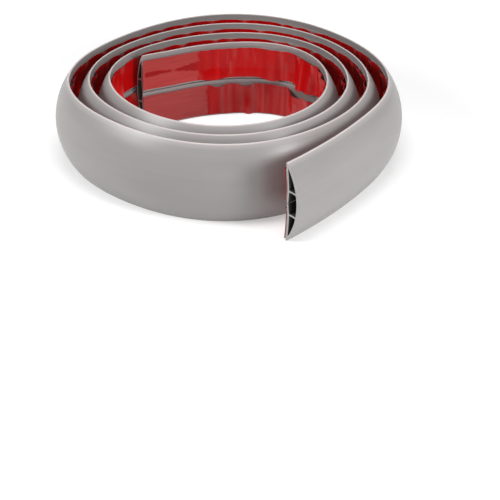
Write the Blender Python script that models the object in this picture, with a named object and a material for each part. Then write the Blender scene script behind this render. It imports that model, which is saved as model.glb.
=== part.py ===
"""Floor cord cover: a three-channel PVC strip with two taped bands, lying as a loose coil on its edge.

One section, a thin base under a low crown, is carried round the coil's middle on a spiral of about
three and a half turns. The base faces the middle and carries two strips of double-sided tape, each
under its own release film. Metres, +Z up. The coil stands on one edge of the strip on z = 0, and its
cut outer end points along -Y.
"""

import math

import bmesh
import bpy
from mathutils import Matrix, Vector

MM = 0.001

# The strip's section: z runs across the strip, n from the base towards the crown. Coiling has
# pressed the base in at the feet of the webs, and the lips of its slit stand back out a little.
WIDTH = 80 * MM
HEIGHT = 15 * MM
EDGE_LAND = 1.3 * MM
FOOT_BOW = 2.2 * MM
LIP_BOW = 1.2 * MM
BASE_WALL = 1.8 * MM
CROWN_WALL = 2.0 * MM
WEB_WALL = 1.6 * MM
WEB_SPACING = 24 * MM
CHANNEL_TIP = 8.5 * MM
SLIT_HEIGHT = 39 * MM
SLIT_WIDTH = 0.8 * MM
CROWN_STEPS = 8
CHANNEL_STEPS = 3

# The tape and its release film, two bands of each on the base, not quite even about its middle.
BAND_WIDTH = 32.5 * MM
LOWER_BAND = 1.9 * MM
UPPER_BAND = 41.6 * MM
TAPE_THICKNESS = 0.7 * MM
FILM_THICKNESS = 0.25 * MM
SEAT_GAP = 0.3 * MM

# The coil, seen from above: its turns run clockwise, and the base's radius grows with each one.
INNER_RADIUS = 100.9 * MM
PITCH = 20.1 * MM
START_ANGLE = math.radians(-147.2)
END_ANGLE = math.radians(1107.7)
STATION_ANGLE = math.radians(12)
FREE_LENGTH = 143 * MM
FREE_RADIUS = 540 * MM
FREE_STEPS = 5

# The inner end isn't bent as far as the rest: its tip stands out towards the next turn, the strip
# just behind it stands in, and the coil has pressed the tip a little flatter.
TIP_PUSH = 4.1 * MM
TIP_CROSSING = 12 * MM
TIP_REACH = 40 * MM
TIP_FLATTENING = 0.15
FLAT_REACH = 30 * MM

# How the hand-wound turns depart from round: waves in a turn, then the size in millimetres of the
# cosine and sine parts at the start, and how much each of them grows in a turn.
LOBES = (
    (1, 0.0, 2.7, 0.0, -1.8),
    (2, 1.4, -0.4, -1.4, -0.2),
    (3, -1.9, -2.5, 0.0, 1.0),
    (4, -0.8, 0.8, 1.4, -0.3),
)

PVC_GREY = (0.36, 0.345, 0.335, 1.0)
TAPE_WHITE = (0.80, 0.77, 0.74, 1.0)
FILM_RED = (0.56, 0.01, 0.012, 1.0)


def clear_scene():
    """Remove the objects that a new file starts with."""
    for obj in list(bpy.data.objects):
        bpy.data.objects.remove(obj, do_unlink=True)


def make_material(name, color, roughness):
    """A Principled material of one colour."""
    material = bpy.data.materials.new(name)
    material.use_nodes = True
    shader = material.node_tree.nodes["Principled BSDF"]
    shader.inputs["Base Color"].default_value = color
    shader.inputs["Roughness"].default_value = roughness
    shader.inputs["Metallic"].default_value = 0.0
    material.diffuse_color = color
    return material


def radius(angle):
    """Distance of the strip's base from the coil's middle after turning by this angle."""
    turns = angle / math.tau
    lobes = 0.0
    for waves, cosine, sine, cosine_growth, sine_growth in LOBES:
        lobes += (cosine + cosine_growth * turns) * math.cos(waves * angle)
        lobes += (sine + sine_growth * turns) * math.sin(waves * angle)
    return INNER_RADIUS + PITCH * turns + lobes * MM + tip_push(angle)


def from_tip(angle):
    """About how far along the strip an angle is from the inner end."""
    return (angle - START_ANGLE) * INNER_RADIUS


def tip_push(angle):
    """How far the strip's inner end stands out from the spiral at this angle, or in where it is negative."""
    away = from_tip(angle)
    return TIP_PUSH * (1 - away / TIP_CROSSING) * math.exp(-((away / TIP_REACH) ** 2))


def depth_share(angle):
    """How much of the section's depth is left at this angle: less than 1 only near the flattened tip."""
    return 1 - TIP_FLATTENING * math.exp(-((from_tip(angle) / FLAT_REACH) ** 2))


def spiral_point(angle):
    """The base's place in plan, turning clockwise from +X."""
    reach = radius(angle)
    return Vector((reach * math.cos(-angle), reach * math.sin(-angle), 0.0))


def spiral_heading(angle):
    """The direction in plan in which the strip runs on."""
    step = 1e-4
    return (spiral_point(angle + step) - spiral_point(angle - step)).normalized()


def plan_route():
    """Every station of the strip as (place, heading, depth), from the inner end to the outer one."""
    count = math.ceil((END_ANGLE - START_ANGLE) / STATION_ANGLE)
    angles = [START_ANGLE + (END_ANGLE - START_ANGLE) * i / count for i in range(count + 1)]
    route = [(spiral_point(angle), spiral_heading(angle), depth_share(angle)) for angle in angles]
    route += free_stretch(*route[-1])
    last = route[-1][1]
    swing = Matrix.Rotation(-math.pi / 2 - math.atan2(last.y, last.x), 3, "Z")
    route = [(swing @ place, swing @ heading, depth) for place, heading, depth in route]
    centre = plan_centre(route)
    return [(place - centre, heading, depth) for place, heading, depth in route]


def free_stretch(corner, heading, depth):
    """Stations of the outer end, which springs away from the coil on a wide arc."""
    middle = corner - outward(heading) * FREE_RADIUS
    stations = []
    for i in range(1, FREE_STEPS + 1):
        turn = Matrix.Rotation(-FREE_LENGTH / FREE_RADIUS * i / FREE_STEPS, 3, "Z")
        stations.append((middle + turn @ (corner - middle), turn @ heading, depth))
    return stations


def plan_centre(route):
    """The middle of the box that the standing coil fills, seen from above."""
    reach = [place for place, _, _ in route]
    reach += [place + outward(heading) * HEIGHT * depth for place, heading, depth in route]
    across = [point.x for point in reach]
    along = [point.y for point in reach]
    return Vector(((min(across) + max(across)) / 2, (min(along) + max(along)) / 2, 0.0))


def outward(heading):
    """The direction from the base to the crown, away from the coil's middle."""
    return Vector((-heading.y, heading.x, 0.0))


def crown_radius():
    """Radius of the crown's arc, which rises from one edge land to the other."""
    rise = HEIGHT - EDGE_LAND
    return ((WIDTH / 2) ** 2 + rise**2) / (2 * rise)


def crown_depth(z, wall=0.0):
    """How far the crown stands off the base at height z, or the face a wall's thickness under it."""
    big = crown_radius()
    centre = HEIGHT - big
    return centre + math.sqrt((big - wall) ** 2 - (z - WIDTH / 2) ** 2)


def crown_line(low, high, steps, wall=0.0):
    """Points (n, z) along the crown from one height to another."""
    heights = [low + (high - low) * i / steps for i in range(steps + 1)]
    return [(crown_depth(z, wall), z) for z in heights]


def base_depth(z):
    """How far the base's outer face stands in from the strip's edges at height z."""
    low_foot = WIDTH / 2 - WEB_SPACING / 2
    high_foot = WIDTH / 2 + WEB_SPACING / 2
    if z <= low_foot:
        return FOOT_BOW * z / low_foot
    if z >= high_foot:
        return FOOT_BOW * (WIDTH - z) / (WIDTH - high_foot)
    foot = low_foot if z < SLIT_HEIGHT else high_foot
    return LIP_BOW + (FOOT_BOW - LIP_BOW) * (z - SLIT_HEIGHT) / (foot - SLIT_HEIGHT)


def base_line(heights, offset=0.0):
    """Points (n, z) along the base, a distance in from its outer face."""
    return [(base_depth(z) + offset, z) for z in heights]


def outer_outline():
    """The strip's outline, which runs in through the base's slit and round the middle channel."""
    low_foot = WIDTH / 2 - WEB_SPACING / 2
    high_foot = WIDTH / 2 + WEB_SPACING / 2
    low_web = low_foot + WEB_WALL / 2
    high_web = high_foot - WEB_WALL / 2
    slit_low = SLIT_HEIGHT - SLIT_WIDTH / 2
    slit_high = SLIT_HEIGHT + SLIT_WIDTH / 2
    outline = base_line([low_foot, 0.0])
    outline += crown_line(0.0, WIDTH, CROWN_STEPS)
    outline += base_line([WIDTH, high_foot, slit_high])
    outline += base_line([slit_high, high_web], BASE_WALL)
    outline += crown_line(high_web, low_web, CHANNEL_STEPS, CROWN_WALL)
    outline += base_line([low_web, slit_low], BASE_WALL)
    outline += base_line([slit_low])
    return outline


def side_channel(upper):
    """The outline of the lower or the upper side channel, which narrows towards the strip's edge."""
    web = WIDTH / 2 - WEB_SPACING / 2 - WEB_WALL / 2
    outline = base_line([web, CHANNEL_TIP], BASE_WALL)
    outline += crown_line(CHANNEL_TIP, web, CHANNEL_STEPS, CROWN_WALL)
    if upper:
        return [(n, WIDTH - z) for n, z in outline]
    return outline


def band_outline(low, start, thickness):
    """A band that follows the base: its lower edge, its start off the base, and its thickness."""
    foot = WIDTH / 2 + math.copysign(WEB_SPACING / 2, low - WIDTH / 4)
    heights = [low, foot, low + BAND_WIDTH]
    return base_line(heights, -start) + base_line(reversed(heights), -start - thickness)


def place_section(route_stop):
    """The matrix that carries section points (n, 0, z) to a station of the route."""
    place, heading, depth = route_stop
    columns = Matrix((outward(heading) * depth, heading, Vector((0.0, 0.0, 1.0)))).transposed()
    return Matrix.Translation(place) @ columns.to_4x4()


def fill_section(mesh, outlines, matrix):
    """A flat face, with holes where outlines lie inside the first, set at the route's first station."""
    edges = []
    for outline in outlines:
        ring = [mesh.verts.new(matrix @ Vector((n, 0.0, z))) for n, z in outline]
        edges += [mesh.edges.new((ring[i - 1], ring[i])) for i in range(len(ring))]
    bmesh.ops.triangle_fill(mesh, edges=edges, use_beauty=True, use_dissolve=False)
    return [*mesh.verts, *mesh.edges, *mesh.faces]


def sweep(name, outlines, route, material):
    """Carry a section along the route, as one closed solid."""
    mesh = bmesh.new()
    matrices = [place_section(stop) for stop in route]
    section = fill_section(mesh, outlines, matrices[0])
    for i in range(1, len(matrices)):
        section = bmesh.ops.extrude_face_region(mesh, geom=section)["geom"]
        points = [item for item in section if isinstance(item, bmesh.types.BMVert)]
        move = matrices[i] @ matrices[i - 1].inverted()
        bmesh.ops.transform(mesh, matrix=move, verts=points)
    bmesh.ops.recalc_face_normals(mesh, faces=mesh.faces)
    data = bpy.data.meshes.new(name)
    mesh.to_mesh(data)
    mesh.free()
    data.materials.append(material)
    data.shade_smooth()
    data.set_sharp_from_angle(angle=math.radians(25))
    obj = bpy.data.objects.new(name, data)
    bpy.context.scene.collection.objects.link(obj)
    return obj


def make_cover(route):
    """The strip itself: its outline and the two side channels."""
    grey = make_material("pvc", PVC_GREY, 0.42)
    outlines = [outer_outline(), side_channel(upper=False), side_channel(upper=True)]
    return sweep("cover", outlines, route, grey)


def make_bands(route):
    """The two strips of tape and the release film on each."""
    tape = make_material("tape", TAPE_WHITE, 0.6)
    film = make_material("film", FILM_RED, 0.25)
    film_start = SEAT_GAP + TAPE_THICKNESS + SEAT_GAP
    for side, low in (("lower", LOWER_BAND), ("upper", UPPER_BAND)):
        sweep(f"{side}_tape", [band_outline(low, SEAT_GAP, TAPE_THICKNESS)], route, tape)
        sweep(f"{side}_film", [band_outline(low, film_start, FILM_THICKNESS)], route, film)


def main():
    clear_scene()
    route = plan_route()
    make_cover(route)
    make_bands(route)


main()
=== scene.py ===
# %% [markdown]
# # A loose coil of floor cord cover
#
# The real object is one length of grey plastic strip. It is extruded: soft PVC is pushed through a
# shaped hole, so the section is the same all along, with three channels for cables under a low
# crown. Two bands of double-sided tape sit on its flat base, each under a red release film. For
# sale the strip is wound by hand into a loose coil that stands on its edge.
#
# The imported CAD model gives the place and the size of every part. This script loads it as a fixed
# frame, and lays finer skins of the same parts over it, with real finishes.

import math

import bpy
import numpy as np
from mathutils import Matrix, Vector
from mathutils.geometry import tessellate_polygon


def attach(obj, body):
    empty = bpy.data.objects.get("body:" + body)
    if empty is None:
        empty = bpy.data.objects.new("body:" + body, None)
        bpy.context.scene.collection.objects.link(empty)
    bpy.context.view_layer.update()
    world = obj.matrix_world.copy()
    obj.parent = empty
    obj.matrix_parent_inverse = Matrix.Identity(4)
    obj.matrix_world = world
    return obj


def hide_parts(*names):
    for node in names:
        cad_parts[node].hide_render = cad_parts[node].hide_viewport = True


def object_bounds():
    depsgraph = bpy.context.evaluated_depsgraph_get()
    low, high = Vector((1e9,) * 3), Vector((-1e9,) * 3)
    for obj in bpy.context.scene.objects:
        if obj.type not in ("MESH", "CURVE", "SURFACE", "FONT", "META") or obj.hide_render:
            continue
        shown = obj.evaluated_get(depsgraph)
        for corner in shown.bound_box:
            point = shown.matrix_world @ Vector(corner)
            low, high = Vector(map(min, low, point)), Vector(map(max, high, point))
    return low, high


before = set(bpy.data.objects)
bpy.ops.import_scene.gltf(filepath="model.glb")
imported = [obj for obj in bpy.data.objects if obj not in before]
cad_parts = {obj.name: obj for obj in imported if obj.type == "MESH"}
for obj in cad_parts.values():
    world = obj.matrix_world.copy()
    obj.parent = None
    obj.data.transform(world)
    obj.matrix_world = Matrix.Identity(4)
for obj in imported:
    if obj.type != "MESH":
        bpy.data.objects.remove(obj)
CAD_BOX = [[float(v) for v in corner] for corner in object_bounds()]
MM = 0.001
print("CAD box in mm:", [[round(v / MM, 1) for v in corner] for corner in CAD_BOX])

# %% [markdown]
# ## The way the strip runs
#
# A coil wound by hand is a spiral that isn't quite round. A path could be drawn as a curve with
# handles, but a formula is easier to keep the same as the CAD: the distance from the middle grows
# by one pitch in each turn, and a few slow waves push the turns in and out. The outer end springs
# away from the coil on a wide arc, and the inner end, which isn't bent as far as the rest, stands
# out towards the next turn and is pressed a little flat there.
#
# Every place on the strip then has three numbers: how far along the strip it is, how far out from
# the base it is, and how high it is. All of these are in millimetres.

# %% The spiral, from the same numbers as the CAD
INNER_RADIUS = 100.9
PITCH = 20.1
START_ANGLE = math.radians(-147.2)
END_ANGLE = math.radians(1107.7)
STATION_ANGLE = math.radians(12)
FREE_LENGTH = 143.0
FREE_RADIUS = 540.0
FREE_STEPS = 5
TIP_PUSH = 4.1
TIP_CROSSING = 12.0
TIP_REACH = 40.0
TIP_FLATTENING = 0.15
FLAT_REACH = 30.0
SMALL_ANGLE = 1e-4
LOBES = np.array([
    (1, 0.0, 2.7, 0.0, -1.8),
    (2, 1.4, -0.4, -1.4, -0.2),
    (3, -1.9, -2.5, 0.0, 1.0),
    (4, -0.8, 0.8, 1.4, -0.3),
])
HEIGHT = 15.0


def tip_push(angle):
    """push x (1 - away / crossing) x exp(-(away / reach)^2), away being the length from the inner end."""
    away = (angle - START_ANGLE) * INNER_RADIUS
    return TIP_PUSH * (1.0 - away / TIP_CROSSING) * np.exp(-((away / TIP_REACH) ** 2))


def coil_radius(angle):
    """Radius + pitch x turns + for each lobe (c + dc x turns) cos(w a) + (s + ds x turns) sin(w a) + tip."""
    turns = angle / math.tau
    waves, cosine, sine, cosine_growth, sine_growth = LOBES.T[..., None]
    lobes = (cosine + cosine_growth * turns) * np.cos(waves * angle)
    lobes += (sine + sine_growth * turns) * np.sin(waves * angle)
    return INNER_RADIUS + PITCH * turns + lobes.sum(axis=0) + tip_push(angle)


def spiral(angle):
    """The base's place in plan: radius x (cos a, -sin a), which turns clockwise."""
    reach = coil_radius(angle)
    return np.stack([reach * np.cos(angle), -reach * np.sin(angle)], axis=-1)


def spiral_heading(angle):
    """The direction in which the strip runs: the difference of two close places, made one long."""
    run = spiral(angle + SMALL_ANGLE) - spiral(angle - SMALL_ANGLE)
    return run / np.linalg.norm(run, axis=-1, keepdims=True)


def turned(vectors, angle):
    """Each vector (x, y) turned by an angle: (x cos a - y sin a, x sin a + y cos a)."""
    x, y = vectors[..., 0], vectors[..., 1]
    return np.stack([x * np.cos(angle) - y * np.sin(angle), x * np.sin(angle) + y * np.cos(angle)], axis=-1)


def outward(heading):
    """A quarter turn to the left of the heading, which is away from the coil's middle."""
    return turned(heading, math.pi / 2)


def raw_route(angles, shares):
    """Places and headings on the spiral, and then at shares of the free end's arc."""
    corner, heading = spiral(np.array([END_ANGLE]))[0], spiral_heading(np.array([END_ANGLE]))[0]
    middle = corner - outward(heading) * FREE_RADIUS
    swing = -FREE_LENGTH / FREE_RADIUS * shares
    places = np.concatenate([spiral(angles), middle + turned(corner - middle, swing)])
    headings = np.concatenate([spiral_heading(angles), turned(heading, swing)])
    return places, headings


# %% Turn and centre it as the CAD does, and measure along it
def cad_setting():
    """The turn that points the free end along -Y, and the middle of the box of the CAD's stations."""
    count = math.ceil((END_ANGLE - START_ANGLE) / STATION_ANGLE)
    steps = np.arange(1, FREE_STEPS + 1) / FREE_STEPS
    places, headings = raw_route(np.linspace(START_ANGLE, END_ANGLE, count + 1), steps)
    swing = -math.pi / 2 - math.atan2(headings[-1, 1], headings[-1, 0])
    places, headings = turned(places, swing), turned(headings, swing)
    reach = np.concatenate([places, places + outward(headings) * HEIGHT])
    return swing, (reach.min(axis=0) + reach.max(axis=0)) / 2


SPIRAL_POINTS = 6001
ARC_POINTS = 300
SWING, CENTRE = cad_setting()
ROUTE_ANGLES = np.linspace(START_ANGLE, END_ANGLE, SPIRAL_POINTS)
ROUTE_PLACES, ROUTE_HEADINGS = raw_route(ROUTE_ANGLES, np.arange(1, ARC_POINTS + 1) / ARC_POINTS)
ROUTE_PLACES = turned(ROUTE_PLACES, SWING) - CENTRE
ROUTE_HEADINGS = turned(ROUTE_HEADINGS, SWING)
ROUTE_STEPS = np.linalg.norm(np.diff(ROUTE_PLACES, axis=0), axis=1)
ROUTE_ALONG = np.concatenate([[0.0], np.cumsum(ROUTE_STEPS)])
LENGTH = float(ROUTE_ALONG[-1])
ROUTE_ANGLES = np.concatenate([ROUTE_ANGLES, np.full(ARC_POINTS, END_ANGLE)])
print(f"the strip is {LENGTH:.0f} mm long, {LENGTH - FREE_LENGTH:.0f} mm of it in the coil")

# %% Lay a point of the strip in space
BOX_LOW = np.array(CAD_BOX[0]) / MM
BOX_HIGH = np.array(CAD_BOX[1]) / MM


def plan(along, out):
    """Place on the route + out x the outward direction there, each read between the route's points."""
    place = np.stack([np.interp(along, ROUTE_ALONG, ROUTE_PLACES[:, i]) for i in (0, 1)], axis=-1)
    heading = np.stack([np.interp(along, ROUTE_ALONG, ROUTE_HEADINGS[:, i]) for i in (0, 1)], axis=-1)
    return place + outward(heading) * out[..., None]


def ease_into_box(points):
    """A true curve bulges past the CAD's straight facets, so each side gives back that bulge times
    (p / side)^4."""
    rim = plan(ROUTE_ALONG, np.full(len(ROUTE_ALONG), HEIGHT))
    low, high = rim.min(axis=0), rim.max(axis=0)
    over = np.clip(high - BOX_HIGH[:2], 0.0, None) * np.clip(points / high, 0.0, None) ** 4
    under = np.clip(BOX_LOW[:2] - low, 0.0, None) * np.clip(points / low, 0.0, None) ** 4
    return points - over + under


def depth_share(along):
    """1 - flattening x exp(-(along / reach)^2): the inner end keeps only this share of its depth."""
    return 1.0 - TIP_FLATTENING * np.exp(-((along / FLAT_REACH) ** 2))


def lay(along, out, high):
    """Points (x, y, z) of the strip from arrays of how far along, how far out and how high they are."""
    along, out, high = np.broadcast_arrays(along, out * depth_share(along), high)
    return np.concatenate([ease_into_box(plan(along, out)), high[..., None]], axis=-1)


rim_at_ends = lay(np.array([0.0, LENGTH]), np.array([HEIGHT, HEIGHT]), np.array([0.0, 0.0]))
print("the crown stands at", rim_at_ends.round(1).tolist(), "mm at the two ends")


# %% [markdown]
# ## One piece from a carried profile
#
# An extruded strip is a closed outline carried along a path. Blender's curve bevel could do this,
# but it would twist a section with channels in it, and give no say in the folds of the film. So
# the mesh is a grid: one side follows the path and the other goes round the outline. An outline
# may be the same everywhere, or change from station to station. The two ends are filled flat.

# %% Carry outlines along the strip
def turn_round(loop, clockwise):
    """The same outline, run the way that is asked for. Its area is half the sum of x1 y2 - x2 y1."""
    ahead = np.roll(loop, -1, axis=0)
    area = (loop[:, 0] * ahead[:, 1] - ahead[:, 0] * loop[:, 1]).sum() / 2
    return loop[::-1] if (area > 0) == clockwise else loop


def end_triangles(rings, loops):
    """Triangles of point numbers that fill an end, all counterclockwise seen from behind."""
    flat = np.concatenate(loops)
    numbers = np.concatenate(rings)
    polygons = [[Vector((n, z, 0.0)) for n, z in loop] for loop in loops]
    corners = np.array(tessellate_polygon(polygons))
    a, b, c = flat[corners[:, 0]], flat[corners[:, 1]], flat[corners[:, 2]]
    area = (b[:, 0] - a[:, 0]) * (c[:, 1] - a[:, 1]) - (c[:, 0] - a[:, 0]) * (b[:, 1] - a[:, 1])
    corners = np.where(area[:, None] < 0, corners[:, ::-1], corners)
    return numbers[corners]


def carry(name, along, loops, sharp=30.0, fields=()):
    """A closed solid: point (i, j) is station i's outline point j, and four neighbours make a face."""
    points, quads, starts, ends, count = [], [], [], [], 0
    for loop in loops:
        loop = np.broadcast_to(loop, (len(along), *loop.shape[-2:]))
        grid = lay(along[:, None], loop[..., 0], loop[..., 1])
        number = count + np.arange(grid[..., 0].size).reshape(grid.shape[:2])
        beside = np.roll(number, -1, axis=1)
        faces = np.stack([number[:-1], beside[:-1], beside[1:], number[1:]], axis=-1)
        points.append(grid.reshape(-1, 3))
        quads.append(faces.reshape(-1, 4))
        starts.append((number[0], loop[0]))
        ends.append((number[-1], loop[-1]))
        count += number.size
    first = end_triangles(*zip(*starts))[:, ::-1]
    last = end_triangles(*zip(*ends))
    quads = np.concatenate(quads)
    mesh = bpy.data.meshes.new(name)
    mesh.from_pydata(np.concatenate(points) * MM, [], quads.tolist() + first.tolist() + last.tolist())
    cut = np.repeat([0, 1], [len(quads), len(first) + len(last)])
    mesh.attributes.new("cut_end", "INT", "FACE").data.foreach_set("value", cut.astype(np.int32))
    stations = np.concatenate([np.repeat(along, len(ring)) for ring, _ in starts])
    mesh.attributes.new("along", "FLOAT", "POINT").data.foreach_set("value", stations * MM)
    for field, values in fields:
        mesh.attributes.new(field, "FLOAT", "POINT").data.foreach_set("value", np.ravel(values))
    mesh.shade_smooth()
    mesh.set_sharp_from_angle(angle=math.radians(sharp))
    piece = bpy.data.objects.new(name, mesh)
    bpy.context.scene.collection.objects.link(piece)
    triangles = 2 * len(quads) + len(first) + len(last)
    print(f"{name}: {len(mesh.vertices)} points, {triangles} triangles")
    return piece


# %% [markdown]
# ## The strip's section
#
# The die that shapes the strip leaves no sharp corners, so each corner of the outline is a short
# curve. The coil has pressed the base in along the feet of the two webs, the lips of the slit
# stand back out a little, and the webs droop, because the warm plastic sagged as it was wound.
# A bevel modifier would round corners too, but only after thousands of faces exist. Rounding the
# outline before it is carried is exact and costs nothing.

# %% Corners and lines of the section
WIDTH = 80.0
EDGE_LAND = 1.3
FOOT_BOW = 2.2
LIP_BOW = 1.2
BASE_WALL = 1.8
CROWN_WALL = 2.0
WEB_WALL = 1.6
WEB_SPACING = 24.0
WEB_DROOP = 0.9
CHANNEL_TIP = 5.6
SLIT_HEIGHT = 39.0
SLIT_WIDTH = 0.8
LOW_FOOT = WIDTH / 2 - WEB_SPACING / 2
HIGH_FOOT = WIDTH / 2 + WEB_SPACING / 2
CROWN_RADIUS = ((WIDTH / 2) ** 2 + (HEIGHT - EDGE_LAND) ** 2) / (2 * (HEIGHT - EDGE_LAND))
LIP_BEND = 1.3
print(f"the crown is an arc of {CROWN_RADIUS:.1f} mm radius")


def crown(z, wall=0.0):
    """The crown is an arc: its radius less the height of the arc's middle, as in y = sqrt(r^2 - z^2)."""
    return HEIGHT - CROWN_RADIUS + np.sqrt((CROWN_RADIUS - wall) ** 2 - (z - WIDTH / 2) ** 2)


def base(z):
    """The base bows in from each edge to a web's foot, half on a line and half on a sine, and back out to
    the slit."""
    share = np.clip(np.where(z < WIDTH / 2, z / LOW_FOOT, (WIDTH - z) / (WIDTH - HIGH_FOOT)), 0.0, 1.0)
    edge = FOOT_BOW * (0.5 * share + 0.5 * np.sin(share * math.pi / 2))
    foot = np.where(z < SLIT_HEIGHT, LOW_FOOT, HIGH_FOOT)
    back = np.clip((z - SLIT_HEIGHT) / (foot - SLIT_HEIGHT), 0.0, 1.0)
    lip = LIP_BOW + (FOOT_BOW - LIP_BOW) * back**LIP_BEND
    return np.where((z > LOW_FOOT) & (z < HIGH_FOOT), lip, edge)


def crown_line(low, high, count, wall=0.0):
    """Points (n, z) on the crown, or a wall's thickness under it, at even heights."""
    z = np.linspace(low, high, count)
    return np.stack([crown(z, wall), z], axis=-1)


def base_line(low, high, count, offset=0.0):
    """Points (n, z) on the base, or a distance in from it, at even heights."""
    z = np.linspace(low, high, count)
    return np.stack([base(z) + offset, z], axis=-1)


def web_line(foot, side):
    """A web's face from the base to the crown: z = foot + half a wall - droop x share^2."""
    share = np.linspace(0.0, 1.0, 5)
    z = foot + side * WEB_WALL / 2 - WEB_DROOP * share**2
    near, far = base(z[:1]) + BASE_WALL, crown(z[-1:], CROWN_WALL)
    return np.stack([near + (far - near) * share, z], axis=-1)


def soft_corner(before, corner, after, reach):
    """(1 - t)^2 p + 2 t (1 - t) c + t^2 q, with p and q near the corner c, and a point beyond each to keep
    the flat faces flat."""
    before, corner, after = (np.array(v, dtype=float) for v in (before, corner, after))
    p = corner + (before - corner) * reach / np.linalg.norm(before - corner)
    q = corner + (after - corner) * reach / np.linalg.norm(after - corner)
    t = np.linspace(0.0, 1.0, 4)[:, None]
    curve = (1 - t) ** 2 * p + 2 * t * (1 - t) * corner + t**2 * q
    return np.concatenate([[0.7 * p + 0.3 * before], curve, [0.7 * q + 0.3 * after]])


def join_soft(sides):
    """A closed outline of lines that share their ends: each shared end becomes a soft corner."""
    parts = []
    for i, (line, reach) in enumerate(sides):
        following = sides[(i + 1) % len(sides)][0]
        parts.append(line[1:-1])
        parts.append(soft_corner(line[-2], line[-1], following[1], reach))
    return np.concatenate(parts)


# %% The outlines of the strip
def strip_outline():
    """Round the outside, in through the slit, round the middle channel and out again."""
    slit_low, slit_high = SLIT_HEIGHT - SLIT_WIDTH / 2, SLIT_HEIGHT + SLIT_WIDTH / 2
    high_web = web_line(HIGH_FOOT, -1)
    low_web = web_line(LOW_FOOT, 1)
    through_wall = np.linspace([0.0, 0.0], [BASE_WALL, 0.0], 3)
    return join_soft([
        # a line, and the reach of the soft corner at its end
        (base_line(slit_low, 0.0, 22), 0.35),
        (np.array([[0.0, 0.0], [EDGE_LAND / 2, 0.0], [EDGE_LAND, 0.0]]), 0.45),
        (crown_line(0.0, WIDTH, 44), 0.45),
        (np.array([[EDGE_LAND, WIDTH], [EDGE_LAND / 2, WIDTH], [0.0, WIDTH]]), 0.35),
        (base_line(WIDTH, slit_high, 22), 0.4),
        (base_line(slit_high, slit_high, 3) + through_wall, 0.3),
        (base_line(slit_high, high_web[0, 1], 5, BASE_WALL), 0.7),
        (high_web, 0.9),
        (crown_line(high_web[-1, 1], low_web[-1, 1], 9, CROWN_WALL), 0.9),
        (low_web[::-1], 0.7),
        (base_line(low_web[0, 1], slit_low, 5, BASE_WALL), 0.3),
        (base_line(slit_low, slit_low, 3) + through_wall[::-1], 0.4),
    ])


def side_outline(upper):
    """A side channel: the base's inside, the web, and the crown's inside down to a narrow tip."""
    foot, side, tip = (HIGH_FOOT, 1, WIDTH - CHANNEL_TIP) if upper else (LOW_FOOT, -1, CHANNEL_TIP)
    web = web_line(foot, side)
    return join_soft([
        (base_line(tip, web[0, 1], 8, BASE_WALL), 0.7),
        (web, 0.9),
        (crown_line(web[-1, 1], tip, 10, CROWN_WALL), 0.12),
        (np.linspace([crown(tip, CROWN_WALL), tip], [base(tip) + BASE_WALL, tip], 3), 0.12),
    ])


cover_loops = [
    turn_round(strip_outline(), clockwise=False),
    turn_round(side_outline(upper=False), clockwise=True),
    turn_round(side_outline(upper=True), clockwise=True),
]
cover_stations = np.linspace(0.0, LENGTH, 380)
print("points in the strip's three outlines:", [len(loop) for loop in cover_loops])

# %% Mark the channels and the crown, for the painted shade in the channels and the painted highlight on the crown
MOUTH_SHADE = 0.75
MOUTH_DEPTH = 8.0
SKIN_DEPTH = 0.3


def spread(shares, flags):
    """One share for each station, set on the outline points that are flagged: share x flag."""
    return np.concatenate([(shares[:, None] * flag).ravel() for flag in flags])


def painted_channel_shade(along, loops):
    """The share of painted shade: 0 on the outside, and in the channels a share that grows from the mouth to
    1 at a short depth.
    """
    depth = np.clip(np.minimum(along, LENGTH - along) / MOUTH_DEPTH, 0.0, 1.0)
    n, z = loops[0].T
    middle = np.abs(z - WIDTH / 2) < WEB_SPACING / 2
    above_base = n > base(z) + BASE_WALL * 0.9
    under_crown = n < crown(z, CROWN_WALL / 4)
    middle_channel = middle & above_base & under_crown
    side_channels = [np.ones(len(loop), dtype=bool) for loop in loops[1:]]
    return spread(MOUTH_SHADE + (1.0 - MOUTH_SHADE) * depth, [middle_channel] + side_channels)


def crown_side(along, loops):
    """1 on the outside of the crown, 0 on the base and inside the channels."""
    n, z = loops[0].T
    side_channels = [np.zeros(len(loop), dtype=bool) for loop in loops[1:]]
    return spread(np.ones(len(along)), [n > crown(z) - SKIN_DEPTH] + side_channels)


cover = carry("cord_cover", cover_stations, cover_loops, fields=[
    ("inside", painted_channel_shade(cover_stations, cover_loops)),
    ("crown_side", crown_side(cover_stations, cover_loops)),
])
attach(cover, "root")
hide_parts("cover")

# %% [markdown]
# ## The tape
#
# Two bands of foam tape are rolled onto the flat base before the strip is wound. They only show as
# a thin line at the edge of the film and at the cut ends. A flat band would be enough, but it has
# to follow the bowed base, so it is carried along the strip as the cover is.

# %% Lay the two bands of tape
BAND_WIDTH = 32.5
TAPE_THICKNESS = 0.7
TAPE_MARGIN = 0.5
TAPE_POINTS = 12
FILM_THICKNESS = 0.25
SEAT_GAP = 0.3
BAND_LOWS = {"lower": 1.9, "upper": 41.6}


def tape_outline(low):
    """Along the base at one distance from it, and back at that distance plus the tape's thickness.
    The tape is a little narrower on each side than the film, which hides its edges."""
    low, high = low + TAPE_MARGIN, low + BAND_WIDTH - TAPE_MARGIN
    near = base_line(low, high, TAPE_POINTS, -SEAT_GAP)
    far = base_line(high, low, TAPE_POINTS, -SEAT_GAP - TAPE_THICKNESS)
    return turn_round(np.concatenate([near, far]), clockwise=False)


tapes = {}
for side, low in BAND_LOWS.items():
    tapes[side] = carry(f"foam_tape_{side}", cover_stations, [tape_outline(low)])
    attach(tapes[side], "root")
    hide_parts(f"{side}_tape")

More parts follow.
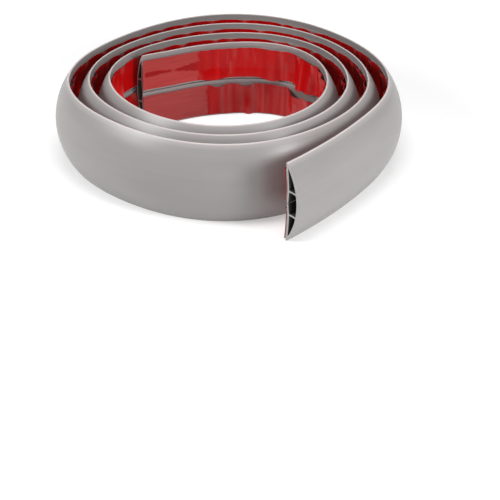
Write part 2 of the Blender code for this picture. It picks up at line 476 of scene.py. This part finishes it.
# %% [markdown]
# ## The release film
#
# The film is put on while the strip is straight. When the strip is wound, the base is on the inside
# of the bend and grows shorter, but the film doesn't. It comes off the tape in folds across the
# strip, and its free edges stand up in small tents. Near the inner end, where it had room to slide,
# it still sticks to the tape and looks milky.
#
# Cloth simulation could make folds, but they would fall anywhere. Here each fold is one row of
# numbers: where it is, how long and how high it is, how much it leans, and from which edge it
# lifts. The film's lift is the highest of all the folds at each point, never more than the room
# that the next turn leaves.

# %% Folds as rows of numbers
FULL_CREASE = 3.0
OPEN_EYE = 60.0
EYE_MARGIN = math.radians(2)
TURN_CLEARANCE = 0.8
MOST_ROOM = 12.0


def eased(t):
    """t^2 (3 - 2 t), which goes from 0 to 1 with a level start and end."""
    return t**2 * (3.0 - 2.0 * t)


def ridge(u, crisp):
    """1 at the middle and 0 at u = +-1: an arch 1 - u^2 for crisp -1, a soft wave for 0, a tent for 1, and
    flat on top over 1."""
    tent = np.clip((1.0 - np.abs(u)) * np.maximum(crisp, 1.0), 0.0, 1.0)
    wave = eased(tent)
    arch = np.clip(1.0 - u**2, 0.0, 1.0)
    return wave + np.clip(crisp, 0.0, 1.0) * (tent - wave) + np.clip(-crisp, 0.0, 1.0) * (arch - wave)


def fold_shares(rows, along, z, low, high):
    """For each fold ridge((s - place - lean x inset) / half) x a fade to 0 at its depth from the edge."""
    place, half, _, lean, edge, depth, crisp = np.array(rows, dtype=float).T[:, :, None, None]
    inset = np.abs(np.where(edge > 0, high, low) - z)
    u = (along[:, None] - place - lean * inset) / half
    return ridge(u, crisp) * eased(np.clip(1.0 - inset / depth, 0.0, 1.0))


def folded(rows, along, z, low, high):
    """The size x the share of each fold; the highest wins."""
    size = np.array(rows, dtype=float)[:, 2, None, None]
    return (size * fold_shares(rows, along, z, low, high)).max(axis=0)


def creased(rows, along, z, low, high):
    """Along the tops of sharp folds only: the share^5 x how sharp and how high the fold is."""
    _, _, size, _, _, _, crisp = np.array(rows, dtype=float).T[:, :, None, None]
    sharp = np.where(crisp > 1.0, 0.0, np.clip(crisp, 0.0, 1.0)) * np.clip(size / FULL_CREASE, 0.0, 1.0)
    return (sharp * fold_shares(rows, along, z, low, high) ** 5).max(axis=0)


def room_inside(along, z):
    """The gap to the next turn's crown: the radius here less the radius one turn earlier, less what lies
    between. The innermost turn has the open eye instead."""
    angle = np.interp(along, ROUTE_ALONG, ROUTE_ANGLES)
    gap = coil_radius(angle) - coil_radius(angle - math.tau)
    gap = np.where(angle - math.tau < START_ANGLE - EYE_MARGIN, OPEN_EYE, gap)
    used = 2 * SEAT_GAP + TAPE_THICKNESS + FILM_THICKNESS + TURN_CLEARANCE
    return np.clip(gap[:, None] - crown(z) + base(z) - used, 0.0, MOST_ROOM)


rooms = room_inside(np.linspace(0.0, LENGTH, 9), np.array([WIDTH / 2])).ravel()
print("room for the film along the strip in mm:", rooms.round(1).tolist())


# %% The folds that show in the coil's eye, and the ones that a fixed seed scatters
upper_rows = [
    # along, half, height, lean, edge, depth, crisp
    (70, 8, 0.7, 0.0, 1, 70, 0.2),
    (77, 20, 1.4, 0.0, -1, 20, 0.1),
    (88, 6, 0.8, 0.0, 1, 70, 0.4),
    (98, 9, 1.0, 0.03, 1, 70, 0.3),
    (110, 6, 0.7, 0.0, 1, 70, 0.4),
    (138, 17, 2.2, 0.0, -1, 60, 0.2),
    (150, 9, 1.6, 0.0, 1, 70, 0.5),
    (184, 19, 7.5, 0.06, -1, 46, 2.4),
    (172, 8, 2.5, 0.25, 1, 24, 0.9),
    (196, 9, 3.0, 0.2, 1, 40, 0.9),
    (217, 9, 3.2, -0.2, 1, 45, 1.0),
    (230, 8, 4.0, 0.2, 1, 22, 1.0),
    (240, 12, 3.0, 0.1, -1, 40, 0.8),
    (604, 7, 6.0, -0.1, -1, 34, 1.0),
    (620, 11, 6.0, 0.4, -1, 34, 1.0),
]
lower_rows = [
    (74, 7, 0.8, 0.0, -1, 70, 0.3),
    (82, 9, 2.4, 0.0, 1, 16, -0.9),
    (91, 6, 1.0, 0.0, -1, 70, 0.4),
    (102, 6, 1.2, 0.0, 1, 70, 0.5),
    (111, 9, 3.0, 0.0, 1, 12, -0.8),
    (114, 10, 2.6, 0.0, -1, 22, 0.4),
    (119, 2.8, 2.2, 0.0, 1, 15, 1.0),
    (130, 8, 1.2, 0.0, -1, 70, 0.4),
    (146, 8, 1.4, 0.0, 1, 70, 0.5),
    (181, 24, 7.5, 0.03, 1, 60, 2.4),
    (222, 14, 4.0, -0.1, 1, 40, 0.9),
]
FLAT_END = 15.0


def scatter_folds(seed, start, spacing):
    """Folds at uneven steps: place = start + a running sum of spacing x (0.5 to 1.5). The rest is drawn
    evenly, and three folds in four lift from the upper edge."""
    dice = np.random.default_rng(seed)
    count = int((LENGTH - start) / spacing)
    steps = np.cumsum(spacing * dice.uniform(0.5, 1.5, count))
    places = start + steps[steps < LENGTH - start - FLAT_END]
    count = len(places)
    half = dice.uniform(7.0, 14.0, count)
    height = dice.uniform(1.5, 5.0, count)
    lean = dice.uniform(-0.35, 0.35, count)
    edge = np.where(dice.random(count) < 0.75, 1.0, -1.0)
    depth = dice.uniform(14.0, 44.0, count)
    crisp = dice.uniform(0.5, 1.0, count)
    return np.stack([places, half, height, lean, edge, depth, crisp], axis=-1)


free_end_rows = [(LENGTH, 26, 1.0, 0.0, 1, 34, 0.3)]
FOLDS = {
    "upper": np.concatenate([upper_rows, scatter_folds(11, 246.0, 24.0), free_end_rows]),
    "lower": np.concatenate([lower_rows, scatter_folds(23, 240.0, 28.0)]),
}
print("folds:", {side: len(rows) for side, rows in FOLDS.items()})

# %% Where a lifted edge has slipped down the strip
SLIPS = {
    "upper": np.array([
        # along, half, drop, lean, edge, depth, crisp
        (77, 20, 1.6, 0.0, -1, 14, 0.0),
        (138, 18, 2.6, 0.0, -1, 14, 0.0),
        (174, 12, 3.0, 0.06, -1, 20, 1.6),
        (192, 16, 1.2, 0.06, -1, 20, 1.0),
        (138, 18, 1.2, 0.0, 1, 12, 0.0),
        (186, 22, 2.0, 0.0, 1, 14, 0.3),
        (236, 16, 2.0, 0.0, 1, 12, 0.3),
        (628, 34, 2.2, 0.0, 1, 14, 0.0),
    ]),
    "lower": np.array([
        (82, 9, 2.2, 0.0, 1, 12, -0.9),
        (111, 9, 2.6, 0.0, 1, 12, -0.8),
        (114, 10, 1.2, 0.0, -1, 8, 0.1),
        (172, 17, 4.6, 0.0, 1, 20, 1.5),
        (192, 20, 2.0, 0.0, 1, 20, 1.0),
    ]),
}
print("slipped edges:", {side: len(rows) for side, rows in SLIPS.items()})

# %% Where the film still touches the tape
STUCK_LENGTH = {"upper": 62.5, "lower": 71.0}
TOUCHES = {
    "upper": np.array([
        # along, half, lowest, highest, share: streaks where the loose film rests on the tape
        (64.0, 1.5, 42, 49, 0.5),
        (92.5, 1.0, 56, 75, 0.5),
        (95.5, 1.4, 44, 60, 0.6),
        (100.0, 2.0, 64, 75, 0.45),
        (113.0, 1.4, 60, 75, 0.4),
        (121.0, 1.0, 56, 68, 0.4),
        (154.5, 1.8, 42, 62, 0.6),
        (150.0, 1.2, 42, 66, 0.35),
        (196.0, 2.0, 44, 60, 0.5),
        (222.0, 2.5, 42, 60, 0.4),
    ]),
    "lower": np.array([
        (86.5, 2.4, 0, 36, 0.85),
        (94.0, 2.6, 0, 36, 0.7),
        (106.5, 3.4, 0, 36, 0.6),
        (119.0, 3.6, 0, 36, 0.9),
        (129.0, 1.6, 0, 36, 0.8),
        (134.0, 3.0, 0, 24, 0.4),
        (142.0, 3.6, 0, 30, 0.35),
        (150.5, 2.0, 0, 36, 0.7),
        (156.0, 1.4, 0, 36, 0.6),
        (171.0, 3.0, 0, 24, 0.7),
    ]),
}
print("touching streaks:", {side: len(rows) for side, rows in TOUCHES.items()})

# %% The long bubble, and the share that sticks
WAVE_SHRINK = 1.7
WAVE_FADE = 0.8
WAVE_COUNT = 6
BUBBLE_START = 1.5
BUBBLE_FADE = 2.0
BUBBLE_BREAK = 34.0
BUBBLE_GAP = 1.2
BUBBLE_SOFTNESS = 0.5
BUBBLE_WOBBLE = 0.15
BUBBLE_STRETCHES = [
    # from, height, climb, half, growth, and the seed and the longest wave of its wobble
    (0.0, 57.6, 0.02, 3.4, -0.065, 8, 21.0),
    (36.0, 57.4, 0.0, 1.2, 0.17, 9, 18.0),
]
STUCK_WOBBLE = 1.2
STUCK_SOFTNESS = 1.7
STREAK_SOFTNESS = 5.0


def wavy(along, seed, longest):
    """A smooth wobble of about -1 to 1: sines of shrinking length, each from a drawn phase, added up."""
    dice = np.random.default_rng(seed)
    lengths = longest / WAVE_SHRINK ** np.arange(WAVE_COUNT)
    waves = np.sin(math.tau * (along[..., None] / lengths + dice.random(WAVE_COUNT)))
    return (waves * WAVE_FADE ** np.arange(WAVE_COUNT)).sum(axis=-1) / 2.0


def blister(along, z):
    """1 in the long thin bubble on the upper band: a stretch that narrows, a short break, and a stretch that
    widens."""
    middles, halves = [], []
    for start, height, climb, half, growth, seed, longest in BUBBLE_STRETCHES:
        middles.append(height + climb * (along - start) + BUBBLE_WOBBLE * wavy(along, seed, longest))
        halves.append(half + growth * (along - start))
    middle = np.where(along < BUBBLE_BREAK, *middles)
    half = np.where(along < BUBBLE_BREAK, *halves)
    half = half * np.clip(np.abs(along - BUBBLE_BREAK) - BUBBLE_GAP, 0.0, 1.0)
    half = half * np.clip((along - BUBBLE_START) / BUBBLE_FADE, 0.0, 1.0)
    return np.clip((half[:, None] - np.abs(z - middle[:, None])) / BUBBLE_SOFTNESS, 0.0, 1.0)


def stuck_film(side, along, z):
    """1 where the film still sticks, up to an uneven line across it, and less on streaks that only touch."""
    line = STUCK_LENGTH[side] + STUCK_WOBBLE * wavy(z, 5, 24.0)
    stuck = np.clip((line - along[:, None]) / STUCK_SOFTNESS, 0.0, 1.0)
    place, half, lowest, highest, share = TOUCHES[side].T[:, :, None, None]
    across = np.clip(np.minimum(z - lowest, highest - z) / STREAK_SOFTNESS + 0.5, 0.0, 1.0)
    streaks = (share * across * np.exp(-(((along[:, None] - place) / half) ** 2))).max(axis=0)
    if side == "upper":
        stuck = stuck * (1.0 - blister(along, z))
    return np.maximum(stuck, streaks)


# %% Build the two films
FILM_STEP = 1.7
FILM_POINTS = 26
COMING_LOOSE = 6.0
SLACK = 0.25
SLACK_WAVE = 0.18
LOWEST_EDGE = 0.3


def film_piece(side, low):
    """The front lies off the tape by the lift, the back a film's thickness behind it; both make one loop."""
    along = np.linspace(0.0, LENGTH, int(LENGTH / FILM_STEP))
    high = low + BAND_WIDTH
    z = np.linspace(low, high, FILM_POINTS)
    past_line = (along[:, None] - STUCK_LENGTH[side]) / COMING_LOOSE
    loose = np.clip(past_line, 0.0, 1.0)
    stuck = stuck_film(side, along, z)
    bubble = blister(along, z) * np.clip(-past_line, 0.0, 1.0)
    crease = creased(FOLDS[side], along, z, low, high) * loose
    lift = folded(FOLDS[side], along, z, low, high)
    slack = SLACK + SLACK_WAVE * wavy(along, 31, 40.0)[:, None]
    lift = np.minimum(np.maximum(lift, slack), room_inside(along, z)) * loose
    front = base(z) - 2 * SEAT_GAP - TAPE_THICKNESS - FILM_THICKNESS - lift
    back = front + FILM_THICKNESS
    heights = np.maximum(z - folded(SLIPS[side], along, z, low, high) * loose, LOWEST_EDGE)
    loop = np.stack([np.concatenate([back, front[:, ::-1]], axis=1),
                     np.concatenate([heights, heights[:, ::-1]], axis=1)], axis=-1)
    fields = [(name, np.concatenate([field, field[:, ::-1]], axis=1))
              for name, field in (("stuck", stuck), ("crease", crease), ("bubble", bubble))]
    return carry(f"release_film_{side}", along, [loop], sharp=60.0, fields=fields)


films = {}
for side, low in BAND_LOWS.items():
    films[side] = film_piece(side, low)
    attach(films[side], "root")
    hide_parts(f"{side}_film")

# %% [markdown]
# ## A short way to write shader maths
#
# Blender's materials are graphs of nodes. Wiring them by hand in Python hides the idea behind the
# code, so one small class stands for a number that a node works out. Adding or multiplying such
# numbers adds the Math node by itself. Any other kind of node comes from one method.

# %% The helper classes
class Number:
    """A node's output that can be used in a sum."""

    def __init__(self, finish, socket):
        self.finish = finish
        self.socket = socket

    def math(self, operation, first, second):
        return self.finish.node("ShaderNodeMath", {"operation": operation}, {0: first, 1: second})

    def __add__(self, other):
        return self.math("ADD", self, other)

    def __sub__(self, other):
        return self.math("SUBTRACT", self, other)

    def __rsub__(self, other):
        return self.math("SUBTRACT", other, self)

    def __mul__(self, other):
        return self.math("MULTIPLY", self, other)

    __radd__ = __add__
    __rmul__ = __mul__


class Finish:
    """A material with one Principled shader, and one method that adds any other node."""

    def __init__(self, name, look):
        self.material = bpy.data.materials.new(name)
        self.material.use_nodes = True
        self.tree = self.material.node_tree
        self.shader = self.tree.nodes["Principled BSDF"]
        self.set(self.shader, look)

    def set(self, node, values):
        for socket, value in values.items():
            if isinstance(value, Number):
                self.tree.links.new(value.socket, node.inputs[socket])
            else:
                node.inputs[socket].default_value = value

    def node(self, kind, settings, values, output=0):
        """A node of this kind: its settings first, then the values or links of its sockets."""
        made = self.tree.nodes.new(kind)
        for name, value in settings.items():
            setattr(made, name, value)
        self.set(made, values)
        return Number(self, made.outputs[output])

    def field(self, name):
        """A number that the mesh carries at each of its points."""
        return self.node("ShaderNodeAttribute", {"attribute_name": name}, {}, "Fac")

    def place(self):
        """Where a point is, in metres."""
        return self.node("ShaderNodeTexCoord", {}, {}, "Object")

    def height(self):
        """How high a point stands, in metres."""
        return self.node("ShaderNodeSeparateXYZ", {}, {"Vector": self.place()}, "Z")

    def noise(self, vector, scale, detail=2.0, roughness=0.5):
        """Soft random clouds from 0 to 1."""
        values = {"Vector": vector, "Scale": scale, "Detail": detail, "Roughness": roughness}
        return self.node("ShaderNodeTexNoise", {}, values)

    def stretch(self, x, y):
        """A place for the noise made of two numbers, so that its clouds can be drawn out into lines."""
        return self.node("ShaderNodeCombineXYZ", {}, {"X": x, "Y": y})

    def ranged(self, value, low, high, to_low, to_high):
        """A value's range from low to high, spread over another range and kept inside it."""
        values = {"Value": value, "From Min": low, "From Max": high, "To Min": to_low, "To Max": to_high}
        return self.node("ShaderNodeMapRange", {"clamp": True}, values)

    def mix(self, share, first, second):
        """A colour between two others."""
        return self.node("ShaderNodeMix", {"data_type": "RGBA"}, {0: share, 6: first, 7: second}, 2)

    def bump(self, height, distance, strength):
        """Shading as if the surface stood out by this height."""
        values = {"Height": height, "Distance": distance, "Strength": strength}
        return self.node("ShaderNodeBump", {}, values)


# %% [markdown]
# ## Finishes
#
# Extruded PVC has a satin skin with very faint lines that run along the strip, left by the die,
# and it is a little uneven in colour. Its crown is painted paler towards the upper rim, a painted
# highlight where the light from above falls, and the thin upper rim is painted paler still, a
# painted highlight on the lit rim. Where it was cut, the face is paler and rougher, with fine
# marks of the blade. So little light finds its way into the channels that they are darkened with
# painted shade too.
#
# The film is a smooth red plastic: milky where the tape behind it touches it, a clear deep red
# where there is air behind it, darker in the thin bubble, and paler along its sharpest creases,
# partly the whitening of a sharp fold and partly a painted highlight on the fold's crest.
# The lower band lies deeper in the coil's own shade in the photograph, so its red is a little
# darker. Painted pictures could carry all this, but fields on the mesh's points and noise need no
# image, and stay sharp from close by.

# %% Satin grey PVC, and its cut face
TOP_HIGHLIGHT_HEIGHTS = (0.0750, 0.0792)
RIM_HIGHLIGHT_HEIGHTS = (0.0790, 0.0797)


def pvc_finish():
    finish = Finish("satin_pvc", {"IOR": 1.5, "Specular IOR Level": 0.42})
    along, high = finish.field("along"), finish.height()
    place = finish.place()
    cloudy = finish.noise(finish.stretch(along * 9.0, high * 60.0), 1.0, 3.0)
    lines = finish.noise(finish.stretch(along * 1.2, high * 1400.0), 1.0, 2.0, 0.6)
    grain = finish.noise(place, 900.0, 2.0)
    share = finish.ranged(cloudy * 0.7 + lines * 0.3, 0.35, 0.65, 0.0, 1.0)
    skin = finish.mix(share, (0.262, 0.251, 0.246, 1.0), (0.284, 0.272, 0.267, 1.0))
    # painted highlight: the crown's outside is painted paler towards the upper rim, and the rim paler still
    painted_highlight_share = finish.ranged(high, *TOP_HIGHLIGHT_HEIGHTS, 0.0, 1.0) * finish.field("crown_side")
    with_top_highlight = finish.mix(painted_highlight_share, skin, (0.36, 0.338, 0.333, 1.0))
    with_rim_highlight = finish.mix(finish.ranged(high, *RIM_HIGHLIGHT_HEIGHTS, 0.0, 1.0), with_top_highlight, (0.55, 0.50, 0.49, 1.0))
    # painted shade: the channels are darkened from the mouth inwards
    color = finish.mix(finish.field("inside"), with_rim_highlight, (0.035, 0.032, 0.031, 1.0))
    roughness = finish.ranged(cloudy * 0.5 + grain * 0.5, 0.3, 0.7, 0.32, 0.42)
    height = lines * 0.7 + grain * 0.3
    finish.set(finish.shader, {"Base Color": color, "Roughness": roughness,
                               "Normal": finish.bump(height, 0.00005, 0.5)})
    return finish.material


def cut_finish():
    finish = Finish("cut_pvc", {"IOR": 1.5, "Specular IOR Level": 0.35})
    place = finish.place()
    high = finish.height()
    marks = finish.noise(finish.stretch(high * 1500.0, 0.0), 1.0, 3.0, 0.7)
    specks = finish.noise(place, 1500.0, 2.0)
    share = finish.ranged(marks * 0.6 + specks * 0.4, 0.35, 0.65, 0.0, 1.0)
    color = finish.mix(share, (0.34, 0.33, 0.32, 1.0), (0.41, 0.40, 0.39, 1.0))
    finish.set(finish.shader, {"Base Color": color, "Roughness": finish.ranged(specks, 0.3, 0.7, 0.5, 0.7),
                               "Normal": finish.bump(marks, 0.0001, 0.6)})
    return finish.material


def dress(piece, *materials):
    """The first material covers the piece, and a second one its cut ends."""
    for material in materials:
        piece.data.materials.append(material)
    if len(materials) > 1:
        cut = np.zeros(len(piece.data.polygons), dtype=np.int32)
        piece.data.attributes["cut_end"].data.foreach_get("value", cut)
        piece.data.polygons.foreach_set("material_index", cut)
    print(piece.name, "is finished in", [material.name for material in materials])


dress(cover, pvc_finish(), cut_finish())


# %% Foam tape
def tape_finish():
    finish = Finish("foam_tape", {"IOR": 1.45, "Specular IOR Level": 0.3})
    place = finish.place()
    cells = finish.node("ShaderNodeTexVoronoi", {}, {"Vector": place, "Scale": 1600.0}, "Distance")
    blotch = finish.noise(place, 120.0, 2.0)
    share = finish.ranged(blotch, 0.3, 0.7, 0.0, 1.0)
    # painted shade: the tape's colour is kept dark, so that the pockets under the lifted film look shaded
    color = finish.mix(share, (0.27, 0.22, 0.21, 1.0), (0.34, 0.29, 0.28, 1.0))
    finish.set(finish.shader, {"Base Color": color, "Roughness": finish.ranged(cells, 0.0, 0.8, 0.6, 0.8),
                               "Normal": finish.bump(cells, 0.0002, 0.5)})
    return finish.material


tape_material = tape_finish()
for tape in tapes.values():
    dress(tape, tape_material)


# %% Red release film
BETWEEN_BANDS = (0.0345, 0.041)


def film_finish():
    finish = Finish("release_film", {"IOR": 1.5, "Specular IOR Level": 0.13})
    along, high = finish.field("along"), finish.height()
    stuck = finish.field("stuck")
    streaks = finish.noise(finish.stretch(along * 150.0, high * 12.0), 1.0, 2.0, 0.5)
    pulls = finish.noise(finish.stretch(along * 24.0, high * 260.0), 1.0, 2.0, 0.5)
    streaky = finish.ranged(streaks, 0.35, 0.65, 0.0, 1.0)
    pulled = finish.ranged(pulls, 0.2, 0.8, 0.0, 1.0)
    deep = finish.mix(streaky, (0.37, 0.002, 0.003, 1.0), (0.47, 0.004, 0.004, 1.0))
    milky = finish.mix(pulled, (0.36, 0.038, 0.036, 1.0), (0.44, 0.054, 0.051, 1.0))
    touching = finish.ranged(streaks, 0.60, 0.74, 0.0, 0.55)
    share = stuck + (1.0 - stuck) * touching
    fresh = finish.mix(share, deep, milky)
    # painted shade: the red of the lower band is darkened a little
    darker = finish.node("ShaderNodeMix", {"data_type": "RGBA", "blend_type": "MULTIPLY"},
                         {0: 1.0, 6: fresh, 7: (0.80, 1.0, 1.0, 1.0)}, 2)
    banded = finish.mix(finish.ranged(high, *BETWEEN_BANDS, 0.0, 1.0), darker, fresh)
    raised = finish.mix(finish.field("bubble") * 0.8, banded, (0.27, 0.002, 0.003, 1.0))
    # partly painted highlight: the crests of the sharpest folds are painted paler
    color = finish.mix(finish.field("crease") * 0.7, raised, (0.62, 0.15, 0.14, 1.0))
    roughness = finish.ranged(stuck, 0.0, 1.0, 0.22, 0.38)
    finish.set(finish.shader, {"Base Color": color, "Roughness": roughness,
                               "Normal": finish.bump(streaks, 0.0004, 0.4)})
    return finish.material


film_material = film_finish()
for film in films.values():
    dress(film, film_material)

# %% [markdown]
# ## The studio
#
# The photograph was taken on white. A large light above gives the bright rims. A small light and a
# larger one on the right reach the free end, which keeps them off the wall behind it, and a fourth
# light from the front left fills the rest. An even white world would be simpler, but it leaves no
# dark corner behind the free end. The floor is a white sheet that glows a little, more in the
# coil's eye and far away, so it stays white with only faint shadows.

# %% Floor, world and lights
FLOOR_REACH = 4.0
COIL_MIDDLE = (0.0, 0.0, 0.04)
bpy.context.scene.view_settings.view_transform = "Standard"


def make_floor():
    finish = Finish("pale_floor", {"Roughness": 0.7, "Specular IOR Level": 0.2, "Emission Strength": 1.0})
    place = finish.place()
    cloudy = finish.noise(place, 4.0, 2.0)
    color = finish.mix(cloudy, (0.63, 0.63, 0.63, 1.0), (0.65, 0.65, 0.65, 1.0))
    away = finish.node("ShaderNodeVectorMath", {"operation": "LENGTH"}, {0: place}, "Value")
    glow = finish.ranged(away, 0.10, 0.12, 0.60, 0.40) + finish.ranged(away, 0.3, 1.0, 0.0, 0.5)
    shine = finish.mix(glow, (0.0, 0.0, 0.0, 1.0), (1.0, 1.0, 1.0, 1.0))
    finish.set(finish.shader, {"Base Color": color, "Emission Color": shine})
    mesh = bpy.data.meshes.new("floor")
    corners = FLOOR_REACH * np.array([(-1, -1, 0), (1, -1, 0), (1, 1, 0), (-1, 1, 0)])
    mesh.from_pydata(corners, [], [(0, 1, 2, 3)])
    mesh.materials.append(finish.material)
    floor = bpy.data.objects.new("floor", mesh)
    bpy.context.scene.collection.objects.link(floor)


def make_world(strength):
    world = bpy.data.worlds.new("white_studio")
    world.use_nodes = True
    background = world.node_tree.nodes["Background"]
    background.inputs["Color"].default_value = (1.0, 1.0, 1.0, 1.0)
    background.inputs["Strength"].default_value = strength
    bpy.context.scene.world = world


def make_light(name, place, size, power):
    """A square area light at a place, turned towards the coil."""
    light = bpy.data.lights.new(name, "AREA")
    light.shape = "SQUARE"
    light.size = size
    light.energy = power
    lamp = bpy.data.objects.new(name, light)
    lamp.location = place
    lamp.rotation_euler = (Vector(COIL_MIDDLE) - Vector(place)).to_track_quat("-Z", "Y").to_euler()
    bpy.context.scene.collection.objects.link(lamp)
    print(f"{name}: {size} m wide, {power} W")


make_floor()
make_world(0.02)
make_light("overhead_softbox", (0.10, -0.10, 1.50), 1.0, 16.0)
make_light("right_key_light", (1.20, 0.10, 0.55), 0.3, 8.0)
make_light("right_softbox", (1.29, -0.08, 0.5), 0.9, 4.5)
make_light("left_front_softbox", (-0.60, -1.05, 0.75), 0.5, 12.0)

# %% [markdown]
# ## The camera
#
# Its place, its angle and its lens were worked out from where the coil's rims lie in the
# photograph. It looks down at 29 degrees from the side where the free end is.

# %% Camera
CAMERA_PLACE = (1.2403, -1.2903, 0.8772)
CAMERA_TURN = math.radians(43.5)
CAMERA_PITCH = math.radians(28.95)
CAMERA_LENS = 143.0
SENSOR_WIDTH = 36.0

lens = bpy.data.cameras.new("camera")
lens.lens = CAMERA_LENS
lens.sensor_width = SENSOR_WIDTH
lens.clip_end = 20.0
camera = bpy.data.objects.new("camera", lens)
camera.location = CAMERA_PLACE
camera.rotation_euler = (math.pi / 2 - CAMERA_PITCH, 0.0, CAMERA_TURN)
bpy.context.scene.collection.objects.link(camera)
bpy.context.scene.camera = camera
print(f"camera {camera.location.length:.2f} m from the coil, with a lens of {CAMERA_LENS:.0f} mm")
